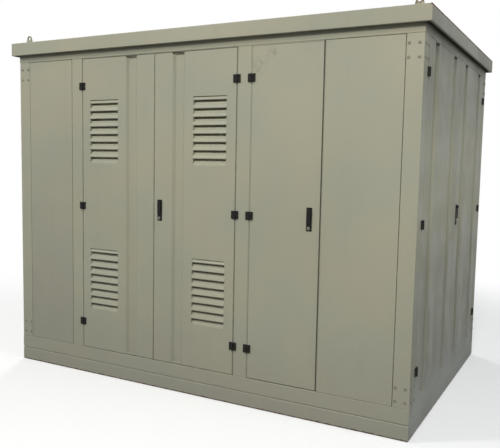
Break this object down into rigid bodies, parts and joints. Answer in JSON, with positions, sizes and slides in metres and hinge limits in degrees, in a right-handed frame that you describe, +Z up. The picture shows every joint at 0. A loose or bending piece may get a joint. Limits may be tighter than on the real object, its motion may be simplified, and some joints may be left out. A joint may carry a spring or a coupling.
{
  "type": "compact substation",
  "caption": "Compact substation kiosk: sheet-steel housing on a channel base, with louvred, plain and ribbed hinged doors, lever locks and a lift-off roof with lifting lugs.",
  "frame": {"origin": "on the ground, under the middle of the roof's outline", "axes": "+X along the front to the right end, +Y from the front to the back, +Z up"},
  "size_m": [3.08, 2.08, 2.4499],
  "materials": {
    "paint": "semi-matt greenish grey paint on sheet steel",
    "hinge_black": "black coated die casting",
    "handle_black": "black glass-filled plastic",
    "lock_metal": "bare plated metal",
    "lug_steel": "painted steel plate, dusty"
  },
  "bodies": {
    "housing": {"base_side_channels": "paint", "base_end_channels": "paint", "base_bearers": "paint", "floor_plate": "paint", "bottom_side_rails": "paint", "bottom_end_rails": "paint", "corner_posts": "paint", "front_mullions": "paint", "back_mullions": "paint", "top_side_rails": "paint", "top_end_rails": "paint", "front_left_panel": "paint", "front_right_panel": "paint", "left_end_panels": "paint", "back_plain_panels": "paint", "back_louvred_panels": "paint", "front_hinge_frames": "hinge_black", "end_hinge_frames": "hinge_black", "roof": "paint", "lifting_lugs": "lug_steel"},
    "louvred_left_leaf": {"louvred_door_left": "paint", "louvred_left_hinges": "hinge_black"},
    "louvred_right_leaf": {"louvred_door_right": "paint", "louvred_right_hinges": "hinge_black", "louvred_handle_base": "handle_black", "louvred_lock": "lock_metal"},
    "louvred_lever": {"louvred_handle_lever": "handle_black"},
    "plain_leaf": {"plain_door": "paint", "plain_door_hinges": "hinge_black", "plain_handle_base": "handle_black", "plain_lock": "lock_metal"},
    "plain_lever": {"plain_handle_lever": "handle_black"},
    "end_front_leaf": {"end_door_front": "paint", "end_front_hinges": "hinge_black"},
    "end_rear_leaf": {"end_door_rear": "paint", "end_rear_hinges": "hinge_black", "end_handle_base": "handle_black", "end_lock": "lock_metal"},
    "end_lever": {"end_handle_lever": "handle_black"}
  },
  "joints": [
    {"name": "louvred_left_swing", "type": "hinge", "parent": "housing", "child": "louvred_left_leaf", "pos_m": [-0.887, -1.007, 1.217], "axis": [0, 0, -1], "range_deg": [0, 90]},
    {"name": "louvred_right_swing", "type": "hinge", "parent": "housing", "child": "louvred_right_leaf", "pos_m": [0.362, -1.007, 1.217], "axis": [0, 0, 1], "range_deg": [0, 90]},
    {"name": "plain_swing", "type": "hinge", "parent": "housing", "child": "plain_leaf", "pos_m": [0.464, -1.007, 1.217], "axis": [0, 0, -1], "range_deg": [0, 90]},
    {"name": "end_front_swing", "type": "hinge", "parent": "housing", "child": "end_front_leaf", "pos_m": [1.507, -0.897, 1.217], "axis": [0, 0, -1], "range_deg": [0, 90]},
    {"name": "end_rear_swing", "type": "hinge", "parent": "housing", "child": "end_rear_leaf", "pos_m": [1.507, 0.897, 1.217], "axis": [0, 0, 1], "range_deg": [0, 90]},
    {"name": "louvred_lever_turn", "type": "hinge", "parent": "louvred_right_leaf", "child": "louvred_lever", "pos_m": [-0.2135, -1.008, 1.269], "axis": [0, -1, 0], "range_deg": [0, 90]},
    {"name": "plain_lever_turn", "type": "hinge", "parent": "plain_leaf", "child": "plain_lever", "pos_m": [0.8645, -1.008, 1.269], "axis": [0, 1, 0], "range_deg": [0, 90]},
    {"name": "end_lever_turn", "type": "hinge", "parent": "end_rear_leaf", "child": "end_lever", "pos_m": [1.508, 0.053, 1.269], "axis": [1, 0, 0], "range_deg": [0, 90]}
  ]
}
